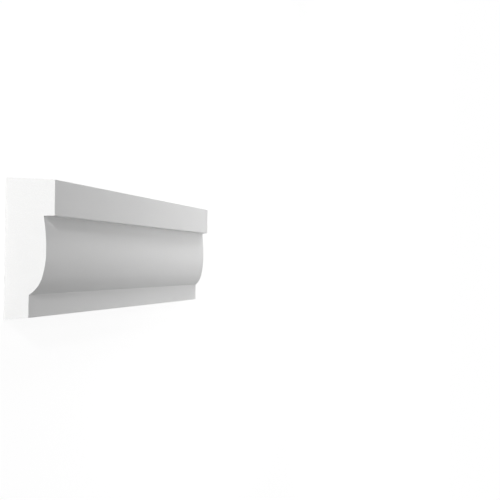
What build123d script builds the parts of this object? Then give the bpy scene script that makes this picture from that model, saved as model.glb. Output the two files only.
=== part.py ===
from build123d import *
import os

# Wall moulding: a length of solid stock, sawn square at one end and mitred for an inside corner at the other.
# It lies on its back, in millimetres: X runs along the length, Y up the wall and Z out from the wall.

# Length and mitre
LENGTH = 217.0  # along the back, from the square end to the heel of the mitre
MITRE_ANGLE = 45.0  # degrees off a square cut, half of a right-angled corner

# Back and its two sides, which lean in so that the length leaves its mould
HEIGHT = 60.0  # over the back
TOP_DRAFT = 1.3  # fall of the top side between the back and the band
FOOT_DRAFT = 1.2  # rise of the underside between the back and the foot

# Band, the flat member along the top
BAND_DEPTH = 23.0  # from the wall to the band's face
BAND_HEIGHT = 15.0

# Ovolo, the swelling member under the band
STEP = 5.0  # from the band's face back to the root of the ovolo, along the soffit
SWELL = 1.4  # from the root out to the crest
CREST_DROP = 15.0  # from the soffit down to the crest
SHOULDER_RADIUS = 34.0  # of the rounding that starts at the crest
SHOULDER_SWEEP = 18.5  # degrees that the shoulder turns before the tight curve into the foot

# Foot, the narrow flat member along the bottom
FOOT_DEPTH = 11.6  # from the wall to the foot's face
FOOT_HEIGHT = 9.6

# Rounding of the three outer arrises
ARRIS_RADIUS = 0.3

# Corners of the section, each as (up the wall, out from the wall)
back_top = (HEIGHT / 2, 0)
band_top = (HEIGHT / 2 - TOP_DRAFT, BAND_DEPTH)
band_bottom = (HEIGHT / 2 - TOP_DRAFT - BAND_HEIGHT, BAND_DEPTH)
ovolo_root = (band_bottom[0], BAND_DEPTH - STEP)
ovolo_crest = (band_bottom[0] - CREST_DROP, BAND_DEPTH - STEP + SWELL)
back_bottom = (-HEIGHT / 2, 0)
foot_bottom = (-HEIGHT / 2 + FOOT_DRAFT, FOOT_DEPTH)
foot_top = (-HEIGHT / 2 + FOOT_DRAFT + FOOT_HEIGHT, FOOT_DEPTH)
up_the_wall = (1, 0)
down_the_wall = (-1, 0)

square_end = Plane.YZ.offset(-LENGTH / 2)
mitre_face = Plane(origin=(LENGTH / 2, 0, 0), z_dir=Vector(1, 0, 0).rotate(Axis.Y, -MITRE_ANGLE))

# Length of moulding
with BuildPart() as moulding_length:
    with BuildSketch(square_end) as section:
        with BuildLine():
            # Soffit, band, top side, back, underside and foot
            Polyline(ovolo_root, band_bottom, band_top, back_top, back_bottom, foot_bottom, foot_top)
            # Ovolo in three arcs that share their tangents: flat down to the crest, then rounder and rounder
            TangentArc(ovolo_crest, ovolo_root, tangent=up_the_wall)
            shoulder = JernArc(ovolo_crest, down_the_wall, SHOULDER_RADIUS, SHOULDER_SWEEP)
            TangentArc(shoulder @ 1, foot_top, tangent=shoulder % 1)
        make_face()
        outer_corners = (band_top, band_bottom, foot_bottom)
        arrises = [section.vertices().sort_by_distance(corner)[0] for corner in outer_corners]
        fillet(arrises, radius=ARRIS_RADIUS)
    extrude(amount=LENGTH)
    # Mitre, longest along the wall
    split(bisect_by=mitre_face, keep=Keep.BOTTOM)
moulding_length.part.label = "moulding_length"

os.makedirs("parts", exist_ok=True)
export_step(moulding_length.part, "parts/moulding_length.step")
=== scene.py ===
# %% [markdown]
# # A length of wall moulding
# This lesson dresses one length of white wall moulding: a band, a swelling ovolo and a foot, sawn square
# at one end and mitred at the other. The solid is already there, in metres, lying on its back. Here it
# gets a fine mesh of its own, three finishes, a floor, soft light and a camera.

# %% Load the solid
import math
import random

import bmesh
import bpy
from mathutils import Matrix, Vector


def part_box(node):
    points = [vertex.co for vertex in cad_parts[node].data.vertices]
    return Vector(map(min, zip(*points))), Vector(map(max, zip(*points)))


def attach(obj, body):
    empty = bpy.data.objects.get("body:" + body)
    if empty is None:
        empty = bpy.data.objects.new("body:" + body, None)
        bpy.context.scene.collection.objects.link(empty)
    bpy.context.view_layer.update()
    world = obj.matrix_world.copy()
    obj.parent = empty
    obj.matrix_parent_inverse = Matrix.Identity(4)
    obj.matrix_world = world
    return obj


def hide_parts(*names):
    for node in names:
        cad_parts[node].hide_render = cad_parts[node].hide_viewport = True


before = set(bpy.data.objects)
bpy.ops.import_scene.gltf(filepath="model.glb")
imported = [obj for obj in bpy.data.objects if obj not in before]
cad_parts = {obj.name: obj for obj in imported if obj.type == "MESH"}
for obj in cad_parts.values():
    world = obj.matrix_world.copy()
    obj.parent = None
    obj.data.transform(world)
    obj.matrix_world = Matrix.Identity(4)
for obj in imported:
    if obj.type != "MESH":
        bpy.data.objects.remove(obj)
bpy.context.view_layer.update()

# %% [markdown]
# ## Sizes
# X runs along the length, Y up the wall and Z out from the wall. The overall sizes are read from the
# solid's box, so they can't drift from it. The members of the section are named here in millimetres and
# turned into metres once.

# %% Name the sizes
MM = 0.001
low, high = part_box("moulding_length")
LENGTH = high.x - low.x
TOP = high.y
BOTTOM = low.y
BAND_DEPTH = high.z
TOP_DRAFT = 1.3 * MM
FOOT_DRAFT = 1.2 * MM
BAND_HEIGHT = 15.0 * MM
STEP = 5.0 * MM
SWELL = 1.4 * MM
CREST_DROP = 15.0 * MM
SHOULDER_RADIUS = 34.0 * MM
SHOULDER_SWEEP = math.radians(18.5)
FOOT_DEPTH = 11.6 * MM
FOOT_HEIGHT = 9.6 * MM
ARRIS_RADIUS = 0.3 * MM
print(f"length {LENGTH / MM:.0f} mm, height {(TOP - BOTTOM) / MM:.0f} mm, depth {BAND_DEPTH / MM:.0f} mm")

# %% [markdown]
# ## The section
# A moulding is its section drawn out along a line, so the section comes first. It could be typed in as a
# long list of points, but then no curve could be changed. Instead a pen walks round it, and each straight
# side is pulled out of the last vertex with `extrude_vert_indiv`. The pen starts at the wall, at the
# bottom, and goes up the back, out along the top, down the band and in along the soffit.

# %% Make a pen and set it down
stock = bmesh.new()


def at(up, out):
    """A point of the section at the square end."""
    return Vector((low.x, up, out))


def line_to(tip, point):
    """Draws a straight side from the last vertex and returns the new last vertex."""
    tip = bmesh.ops.extrude_vert_indiv(stock, verts=[tip])["verts"][0]
    tip.co = point
    return tip


first = bmesh.ops.create_vert(stock, co=at(BOTTOM, 0))["vert"][0]
print("the pen starts at", first.co[:])

# %% Draw the back, the band and the soffit
band_top_up = TOP - TOP_DRAFT
soffit_up = band_top_up - BAND_HEIGHT
root_out = BAND_DEPTH - STEP
back_top = line_to(first, at(TOP, 0))
band_top = line_to(back_top, at(band_top_up, BAND_DEPTH))
band_bottom = line_to(band_top, at(soffit_up, BAND_DEPTH))
root = line_to(band_bottom, at(soffit_up, root_out))
print("sides drawn down to the ovolo:", len(stock.edges))

# %% [markdown]
# ## The ovolo
# The swelling member is three arcs that share their tangents, so light slides over it with no crease.
# `spin` carries the last vertex round a centre and leaves an arc behind it. The first arc is nearly flat
# and stands upright at the crest. The shoulder below it is rounder. The last is rounder still, and its
# radius isn't chosen: only one circle leaves the shoulder smoothly and also ends on the corner of the foot.

# %% Draw the ovolo down to its crest
ALONG = (1, 0, 0)
UPPER_STEPS = 20


def arc_about(tip, centre, angle, steps):
    """Draws an arc from the last vertex round a centre and returns the new last vertex."""
    arc = bmesh.ops.spin(stock, geom=[tip], cent=centre, axis=ALONG, angle=angle, steps=steps)
    return next(item for item in arc["geom_last"] if isinstance(item, bmesh.types.BMVert))


crest = at(soffit_up - CREST_DROP, root_out + SWELL)
upper_radius = (CREST_DROP ** 2 + SWELL ** 2) / (2 * SWELL)
upper_sweep = math.asin(CREST_DROP / upper_radius)
crest_tip = arc_about(root, crest - Vector((0, 0, upper_radius)), upper_sweep, UPPER_STEPS)
print(f"upper radius {upper_radius / MM:.1f} mm")

# %% Draw the shoulder, the lower curve and the foot
SHOULDER_STEPS = 14
LOWER_STEPS = 20
shoulder_centre = crest - Vector((0, 0, SHOULDER_RADIUS))
shoulder_tip = arc_about(crest_tip, shoulder_centre, SHOULDER_SWEEP, SHOULDER_STEPS)
foot_bottom_up = BOTTOM + FOOT_DRAFT
foot_top = at(foot_bottom_up + FOOT_HEIGHT, FOOT_DEPTH)
chord = foot_top - shoulder_tip.co
inward = Vector((0, math.sin(SHOULDER_SWEEP), -math.cos(SHOULDER_SWEEP)))
lower_radius = chord.length_squared / (2 * chord.dot(inward))
lower_sweep = 2 * math.asin(chord.length / (2 * lower_radius))
lower_centre = shoulder_tip.co + inward * lower_radius
foot_tip = arc_about(shoulder_tip, lower_centre, lower_sweep, LOWER_STEPS)
foot_bottom = line_to(foot_tip, at(foot_bottom_up, FOOT_DEPTH))
bmesh.ops.contextual_create(stock, geom=[foot_bottom, first])
print(f"shoulder radius {SHOULDER_RADIUS / MM:.1f} mm, lower radius {lower_radius / MM:.1f} mm")

# %% [markdown]
# ## Arrises
# No moulded edge is quite sharp: primer rounds it, and the thin line of light along it tells the eye how
# big the piece is. The edges of the finished length could be bevelled, but the ends would then need
# mending. The three outer corners are bevelled as vertices of the flat section instead, before it has any
# length, so each arris comes out even from end to end.

# %% Fill the section and ease its arrises
ARRIS_STEPS = 5
bmesh.ops.contextual_create(stock, geom=stock.edges[:])
bmesh.ops.bevel(
    stock,
    geom=[band_top, band_bottom, foot_bottom],
    offset=ARRIS_RADIUS,
    offset_type="OFFSET",
    affect="VERTICES",
    segments=ARRIS_STEPS,
    profile=0.5,
    material=-1,
)
print("points round the section:", len(stock.verts))

# %% [markdown]
# ## The length and its mitre
# Extruding the section gives the straight stock. The mitre could be made by sliding vertices, but a saw
# is a plane, so `bisect_plane` cuts the stock as a saw would and throws the offcut away. The cut leaves
# the length longest along the wall, as an inside corner needs it. It also leaves the mitre open, and the
# extrusion leaves the square end open, so one fill closes both.

# %% Draw out the length and mitre it
WELD = 0.001 * MM  # a point closer to a cut than this counts as on it
far_end = bmesh.ops.extrude_discrete_faces(stock, faces=stock.faces[:])["faces"][0]
bmesh.ops.translate(stock, verts=far_end.verts[:], vec=(LENGTH, 0, 0))
mitre_normal = Vector((1, 0, 1)).normalized()
bmesh.ops.bisect_plane(
    stock,
    geom=stock.verts[:] + stock.edges[:] + stock.faces[:],
    plane_co=(high.x, 0, 0),
    plane_no=mitre_normal,
    clear_outer=True,
    dist=WELD,
)
bmesh.ops.holes_fill(stock, edges=[edge for edge in stock.edges if edge.is_boundary])
bmesh.ops.recalc_face_normals(stock, faces=stock.faces[:])
print("faces", len(stock.faces), "open edges", sum(edge.is_boundary for edge in stock.edges))
print(f"volume {stock.calc_volume() / MM ** 3:.0f} cubic mm")

# %% [markdown]
# ## Sawn ends
# Both ends show the saw, if only just. Its teeth leave shallow scores side by side, which a bump could
# fake, but then they would be gone from the mesh. So each end is sliced by parallel planes, one for every
# stroke, and each slice line is pressed into the end, by a few hundredths of a millimetre at most. The
# lines move along the length only, so every side of the moulding stays flat up to its edge.

# %% Make a saw for the ends
STROKE_PITCH = 0.8 * MM
STROKE_WANDER = 0.25 * MM
STROKE_DEPTH = 0.03 * MM
STROKE_TILT = math.radians(4.0)
SAME_WAY = 0.99  # cosine of the widest angle between two directions that count as the same
SAW_SEED = 7
saw = random.Random(SAW_SEED)


def faces_towards(direction):
    """The faces of the length that look this way."""
    return [face for face in stock.faces if face.normal.dot(direction) > SAME_WAY]


def slice_end(facing):
    """Slices the end that faces this way and returns the vertices of each stroke."""
    across_stroke = Vector((0, math.cos(STROKE_TILT), math.sin(STROKE_TILT)))
    strokes = []
    up = BOTTOM + STROKE_PITCH
    while up < TOP:
        faces = faces_towards(facing)
        # A dict drops the doubles as a set would, but it keeps its order, so each run gives the same mesh
        parts = dict.fromkeys(part for face in faces for part in (*face.verts, *face.edges))
        cut = bmesh.ops.bisect_plane(
            stock, geom=[*faces, *parts], plane_co=(0, up, 0), plane_no=across_stroke, dist=WELD
        )
        strokes.append([part for part in cut["geom_cut"] if isinstance(part, bmesh.types.BMVert)])
        up += STROKE_PITCH + saw.uniform(-STROKE_WANDER, STROKE_WANDER)
    return strokes


print("about", round((TOP - BOTTOM) / STROKE_PITCH), "strokes to an end")

# %% Score the square end and the mitre
SAWN = 1  # the second of the three finishes below; a face has the first until it is told otherwise
square_normal = Vector((-1, 0, 0))
for end, facing, into in (("square end", square_normal, 1), ("mitre", mitre_normal, -1)):
    strokes = slice_end(facing)
    for face in faces_towards(facing):
        face.material_index = SAWN
    for stroke in strokes:
        bmesh.ops.translate(stock, verts=stroke, vec=(into * saw.uniform(0, STROKE_DEPTH), 0, 0))
    print("strokes on the", end, len(strokes))

# %% [markdown]
# ## Smooth and sharp
# The ovolo and the arrises are round, so their facets are shaded as one surface, while the corner under
# the band, the corner above the foot and the sawn edges stay crisp. An edge is sharp where its two faces
# turn by more than a set angle. Plain smooth shading would still bend the light on the flat band next to
# its narrow arrises, so a Weighted Normal modifier lets each large face keep its own direction.

# %% Make the piece
BACK = 2  # the third of the finishes
SHARP_ANGLE = math.radians(25)
back_normal = Vector((0, 0, -1))
for face in stock.faces:
    face.smooth = True
for face in faces_towards(back_normal):
    face.material_index = BACK
for edge in stock.edges:
    edge.smooth = edge.calc_face_angle(math.pi) < SHARP_ANGLE
mesh = bpy.data.meshes.new("moulding")
stock.to_mesh(mesh)
stock.free()
moulding = bpy.data.objects.new("moulding", mesh)
bpy.context.collection.objects.link(moulding)
even_normals = moulding.modifiers.new("even_normals", "WEIGHTED_NORMAL")
even_normals.keep_sharp = True
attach(moulding, "root")
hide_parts("moulding_length")
print("piece", moulding.name, "with", len(mesh.polygons), "faces")

# %% [markdown]
# ## Primed skin
# The face, the soffit and the two sides come out of the mould and then get a sprayed coat of matte white
# primer. White trim looks dead in one flat colour, because a real coat varies a little in tone, in sheen
# and in level, and the eye reads all three without naming them. A picture of a coat would need a UV map
# and would blur close up, so the finish is made of nodes on Object coordinates. Those are metres on the
# piece: a pattern's scale is how often it repeats in a metre, and it stays put when the piece moves.

# %% Start the primed skin


def add(tree, kind, **settings):
    """Adds a node and sets its inputs and its options by name."""
    node = tree.nodes.new(kind)
    for name, value in settings.items():
        if name in node.inputs:
            node.inputs[name].default_value = value
        else:
            setattr(node, name, value)
    return node


def new_finish(name):
    """Adds a material to the moulding and returns its node tree and its shader."""
    material = bpy.data.materials.new(name)
    material.use_nodes = True
    moulding.data.materials.append(material)
    return material.node_tree, material.node_tree.nodes["Principled BSDF"]


tree, shader = new_finish("primed_skin")
print("finishes", moulding.data.materials.keys())

# %% [markdown]
# ### Its tone
# Wide clouds, a few centimetres across, stand for a coat that is a little thinner here and there. A
# Mapping node of the Texture kind gives a pattern its size: it stretches the pattern first and turns it
# after. Soft noise could then go through a Color Ramp, but a Mix between two named tones is easier to read
# and to change. A Mix has sockets for numbers, vectors and colours under the same names, so those for
# colours are picked by their place in the row.

# %% Make soft clouds
CLOUD_REPEATS = (30, 30, 30)


def on_piece(tree, repeats, turn=0.0):
    """Coordinates that repeat so often in a metre along X, Y and Z, turned about X."""
    place = add(tree, "ShaderNodeTexCoord")
    stretch = add(tree, "ShaderNodeMapping", vector_type="TEXTURE", Rotation=(turn, 0, 0))
    stretch.inputs["Scale"].default_value = [1 / repeat for repeat in repeats]
    tree.links.new(place.outputs["Object"], stretch.inputs["Vector"])
    return stretch.outputs["Vector"]


def noise(tree, repeats, turn=0.0):
    """Soft noise from 0 to 1."""
    cloud = add(tree, "ShaderNodeTexNoise", Scale=1.0)
    tree.links.new(on_piece(tree, repeats, turn), cloud.inputs["Vector"])
    return cloud.outputs["Fac"]


clouds = noise(tree, CLOUD_REPEATS)
print(f"clouds about {1 / CLOUD_REPEATS[0] / MM:.0f} mm across")

# %% Tone the coat
THIN_COAT = (0.870, 0.870, 0.867)
FULL_COAT = (0.890, 0.890, 0.887)
MIX_FIRST = 6
MIX_SECOND = 7
MIX_RESULT = 2


def tones(tree, factor, first, second):
    """A colour that goes from the first to the second with the factor."""
    mix = add(tree, "ShaderNodeMix", data_type="RGBA")
    mix.inputs[MIX_FIRST].default_value = (*first, 1)
    mix.inputs[MIX_SECOND].default_value = (*second, 1)
    tree.links.new(factor, mix.inputs["Factor"])
    return mix.outputs[MIX_RESULT]


tree.links.new(tones(tree, clouds, THIN_COAT, FULL_COAT), shader.inputs["Base Color"])
print("coat from", THIN_COAT, "to", FULL_COAT)

# %% [markdown]
# ### Its sheen and level
# The sheen of the coat changes over a few millimetres, between two roughnesses. Sprayed paint also levels
# badly, so it has the soft waves called orange peel, with a fine tooth over them that paint will later
# grip. Modelled waves would take millions of faces, so both are bumps, each with a real depth and so
# slight that the length still looks clean and new.

# %% Vary the sheen
SMOOTH_SHEEN = 0.54
ROUGH_SHEEN = 0.66
SHEEN_REPEATS = (140, 140, 140)


def between(tree, factor, least, most):
    """A value that goes from least to most as the factor goes from 0 to 1."""
    scale = add(tree, "ShaderNodeMapRange")
    scale.inputs["To Min"].default_value = least
    scale.inputs["To Max"].default_value = most
    tree.links.new(factor, scale.inputs["Value"])
    return scale.outputs["Result"]


sheen = between(tree, noise(tree, SHEEN_REPEATS), SMOOTH_SHEEN, ROUGH_SHEEN)
tree.links.new(sheen, shader.inputs["Roughness"])
print("roughness from", SMOOTH_SHEEN, "to", ROUGH_SHEEN)

# %% Raise the orange peel and the tooth
PEEL_REPEATS = (260, 260, 260)
PEEL_DEPTH = 0.04 * MM
TOOTH_REPEATS = (3000, 3000, 3000)
TOOTH_DEPTH = 0.04 * MM


def relief(tree, height, depth, under=None):
    """A bump of a real depth, laid over another bump if there is one."""
    bump = add(tree, "ShaderNodeBump", Distance=depth)
    tree.links.new(height, bump.inputs["Height"])
    if under is not None:
        tree.links.new(under, bump.inputs["Normal"])
    return bump.outputs["Normal"]


peel = relief(tree, noise(tree, PEEL_REPEATS), PEEL_DEPTH)
tooth = relief(tree, noise(tree, TOOTH_REPEATS), TOOTH_DEPTH, under=peel)
tree.links.new(tooth, shader.inputs["Normal"])
print("primed skin has", len(tree.nodes), "nodes")

# %% [markdown]
# ## Sawn foam
# A saw opens the white foam inside. Rigid foam is made of tiny closed cells, and each one that the saw
# opens is a pit. Voronoi cells give that pattern directly, because each point's distance to its cell's
# middle is the bowl of a pit. The same distance darkens the colour towards each pit's floor, which is
# painted shade in the pits. Faint streaks follow the strokes, so their pattern is stretched along them and
# turned by the same tilt as the strokes in the mesh.

# %% Make the sawn foam
# The first tone below is painted shade, the colour at the bottom of each pit.
PIT_PAINTED_SHADE = (0.868, 0.868, 0.864)
PIT_RIM = (0.905, 0.905, 0.901)
PIT_REPEATS = (2600, 2600, 2600)
PIT_DEPTH = 0.04 * MM
STREAK_REPEATS = (40, 900, 40)
STREAK_DEPTH = 0.008 * MM
FOAM_ROUGHNESS = 0.85
tree, shader = new_finish("sawn_foam")
pits = add(tree, "ShaderNodeTexVoronoi", Scale=1.0)
tree.links.new(on_piece(tree, PIT_REPEATS), pits.inputs["Vector"])
streaks = relief(tree, noise(tree, STREAK_REPEATS, turn=STROKE_TILT), STREAK_DEPTH)
cells = relief(tree, pits.outputs["Distance"], PIT_DEPTH, under=streaks)
# Painted shade: the colour darkens towards each pit's middle, where the pit is deepest.
tree.links.new(tones(tree, pits.outputs["Distance"], PIT_PAINTED_SHADE, PIT_RIM), shader.inputs["Base Color"])
tree.links.new(cells, shader.inputs["Normal"])
shader.inputs["Roughness"].default_value = FOAM_ROUGHNESS
print("sawn foam has", len(tree.nodes), "nodes")

# %% [markdown]
# ## Bare back
# The back goes against the wall with adhesive, so nobody primes it. A belt sander brings it to thickness
# along the length, and its grit leaves long scratches close together. They could be cut one by one, but a
# noise that repeats often across the back and seldom along it draws them all at once. The same noise
# darkens the back's bare tone in the floor of each scratch, which is painted shade in the grooves.

# %% Make the bare back
# The first tone below is the back's own bare tone, darkened as painted shade for the floor of a scratch.
SCRATCH_SHADED_BARE_TONE = (0.825, 0.825, 0.812)
SCRATCH_RIM = (0.855, 0.855, 0.845)
SCRATCH_REPEATS = (9, 1400, 1400)
SCRATCH_DEPTH = 0.02 * MM
BACK_ROUGHNESS = 0.8
tree, shader = new_finish("bare_back")
scratches = noise(tree, SCRATCH_REPEATS)
# The bare tone goes darker where the scratch is deepest: painted shade in the grooves.
tree.links.new(tones(tree, scratches, SCRATCH_SHADED_BARE_TONE, SCRATCH_RIM), shader.inputs["Base Color"])
tree.links.new(relief(tree, scratches, SCRATCH_DEPTH), shader.inputs["Normal"])
shader.inputs["Roughness"].default_value = BACK_ROUGHNESS
print("finishes", moulding.data.materials.keys())

# %% [markdown]
# ## Floor
# The length lies on a plain white floor, so wide that its edge is lost in the white behind it. Light
# enough to turn a real floor white would bleach the moulding too, so the floor glows, and only for the
# rays that show it: those from the camera, those that a gloss sends on and those that glass lets through.
# Close to the piece it glows a little less, and there the lamps make up the rest, so a soft shadow is left
# where they don't reach. How close a point is comes from a spherical gradient, which falls from 1 in the
# middle of the floor to 0 a metre away.

# %% Lay the floor
FLOOR_SIZE = 8.0
FLOOR_GAP = 0.2 * MM
floor_shape = bmesh.new()
level = Matrix.Translation((0, 0, low.z - FLOOR_GAP))
bmesh.ops.create_grid(floor_shape, x_segments=1, y_segments=1, size=FLOOR_SIZE / 2, matrix=level)
floor_mesh = bpy.data.meshes.new("floor")
floor_shape.to_mesh(floor_mesh)
floor_shape.free()
floor = bpy.data.objects.new("floor", floor_mesh)
bpy.context.collection.objects.link(floor)
print("floor", FLOOR_SIZE, "m wide")

# %% Find the rays that show the floor
white_floor = bpy.data.materials.new("white_floor")
white_floor.use_nodes = True
floor.data.materials.append(white_floor)
tree = white_floor.node_tree


def shown(tree):
    """A socket that is 1 for rays from the camera, a gloss or glass, and 0 for rays that only light."""
    path = add(tree, "ShaderNodeLightPath")
    either = path.outputs["Is Camera Ray"]
    for ray in ("Is Glossy Ray", "Is Transmission Ray"):
        larger = add(tree, "ShaderNodeMath", operation="MAXIMUM")
        tree.links.new(either, larger.inputs[0])
        tree.links.new(path.outputs[ray], larger.inputs[1])
        either = larger.outputs["Value"]
    return either


floor_shown = shown(tree)
print("floor material", white_floor.name, "with", len(tree.nodes), "nodes so far")

# %% Paint the floor
WHITE = (1, 1, 1, 1)
FLOOR_TONE = 0.8
SHADOW_TONE = 0.3
GLOW_NEAR = 0.84
GLOW_FAR = 1.0
FLOOR_ROUGHNESS = 1.0
FLOOR_GLOSS = 0.0
place = add(tree, "ShaderNodeTexCoord")
nearness = add(tree, "ShaderNodeTexGradient", gradient_type="SPHERICAL")
glow = add(tree, "ShaderNodeMath", operation="MULTIPLY")
tree.links.new(place.outputs["Object"], nearness.inputs["Vector"])
tree.links.new(between(tree, nearness.outputs["Fac"], GLOW_FAR, GLOW_NEAR), glow.inputs[0])
tree.links.new(floor_shown, glow.inputs[1])
shader = tree.nodes["Principled BSDF"]
shader.inputs["Roughness"].default_value = FLOOR_ROUGHNESS
shader.inputs["Specular IOR Level"].default_value = FLOOR_GLOSS
shader.inputs["Emission Color"].default_value = WHITE
tree.links.new(between(tree, floor_shown, FLOOR_TONE, SHADOW_TONE), shader.inputs["Base Color"])
tree.links.new(glow.outputs["Value"], shader.inputs["Emission Strength"])
print("floor glows from", GLOW_NEAR, "to", GLOW_FAR)

# %% [markdown]
# ## Surroundings
# Past the floor there is only the world, a white studio. It is full white to the rays that show it, but
# as a light it stays dim, so that the shaded side of the ovolo keeps its depth.

# %% Set the world
AMBIENT = 0.08
STUDIO_GLOW = 1.0
world = bpy.data.worlds.new("studio")
world.use_nodes = True
bpy.context.scene.world = world
tree = world.node_tree
background = tree.nodes["Background"]
background.inputs["Color"].default_value = WHITE
tree.links.new(between(tree, shown(tree), AMBIENT, STUDIO_GLOW), background.inputs["Strength"])
print("ambient light", AMBIENT)

# %% [markdown]
# ## Lamps
# Six soft panels light the length, each for its own reason. A low one in front makes the square end the
# brightest face, and it only grazes the long face, which stays darker. A small one above it is the key:
# it throws the band's shadow on the ovolo, and next to the square end it still slips in under the soffit.
# One on the band's side lights the top and leaves the lower curve of the ovolo in shade, and one hangs
# over the face. Both are close to the mitre, so the face gets brighter along its length. Two low, weak
# ones keep the mitre and the underside from going dark. A shadow's edge is soft where a point still sees
# part of the panel, so a panel's size counts as much as its watts.

# %% Hang the lamps


def panel_light(name, place, aim, width, height, watts):
    """A soft rectangular lamp that faces a point."""
    panel = bpy.data.lights.new(name, "AREA")
    panel.shape = "RECTANGLE"
    panel.size = width
    panel.size_y = height
    panel.energy = watts
    lamp = bpy.data.objects.new(name, panel)
    lamp.location = place
    lamp.rotation_euler = (Vector(aim) - Vector(place)).to_track_quat("-Z", "Y").to_euler()
    bpy.context.collection.objects.link(lamp)
    print(name, watts, "W")


square_end = (low.x, 0, BAND_DEPTH / 2)
middle = (0, 0, BAND_DEPTH / 2)
mitre_end = (high.x, 0, BAND_DEPTH / 2)
panel_light("end_light", place=(-1.0, 0.0, 0.1), aim=square_end, width=0.4, height=0.1, watts=4.5)
panel_light("key_light", place=(-1.0, 0.45, 0.35), aim=square_end, width=0.1, height=0.1, watts=3.15)
panel_light("band_light", place=(0.2, 0.3, 0.12), aim=mitre_end, width=0.2, height=0.1, watts=0.56)
panel_light("far_light", place=(0.12, 0.0, 0.25), aim=mitre_end, width=0.3, height=0.3, watts=0.31)
panel_light("mitre_light", place=(0.8, 0.0, 0.1), aim=mitre_end, width=0.6, height=0.15, watts=0.8)
panel_light("foot_light", place=(0.0, -0.6, 0.07), aim=middle, width=0.6, height=0.1, watts=0.15)

# %% [markdown]
# ## Camera
# The picture shows the length upright, as it goes on a wall, while here it lies on its back. So the
# camera lies on its side: up in the picture is up the wall, which is +Y. A camera can be aimed by a
# constraint, but its turn is easier to set when its three axes are worked out and written into its matrix.

# %% Place the camera
EYE = Vector((-0.418, -0.0047, 0.196))
AIM = Vector((0.0, 0.002, 0.0759))
UP_THE_WALL = Vector((0, 1, 0))
ROLL = math.radians(0.77)
LENS = 60.3
camera = bpy.data.objects.new("camera", bpy.data.cameras.new("camera"))
camera.data.lens = LENS
bpy.context.collection.objects.link(camera)
forward = (AIM - EYE).normalized()
level_right = forward.cross(UP_THE_WALL).normalized()
level_up = level_right.cross(forward)
turn = Matrix.Rotation(-ROLL, 3, forward)
axes = Matrix((turn @ level_right, turn @ level_up, -forward)).transposed()
camera.matrix_world = Matrix.Translation(EYE) @ axes.to_4x4()
bpy.context.scene.camera = camera
bpy.context.scene.view_settings.view_transform = "Standard"
print(f"camera {(AIM - EYE).length:.3f} m from its aim")
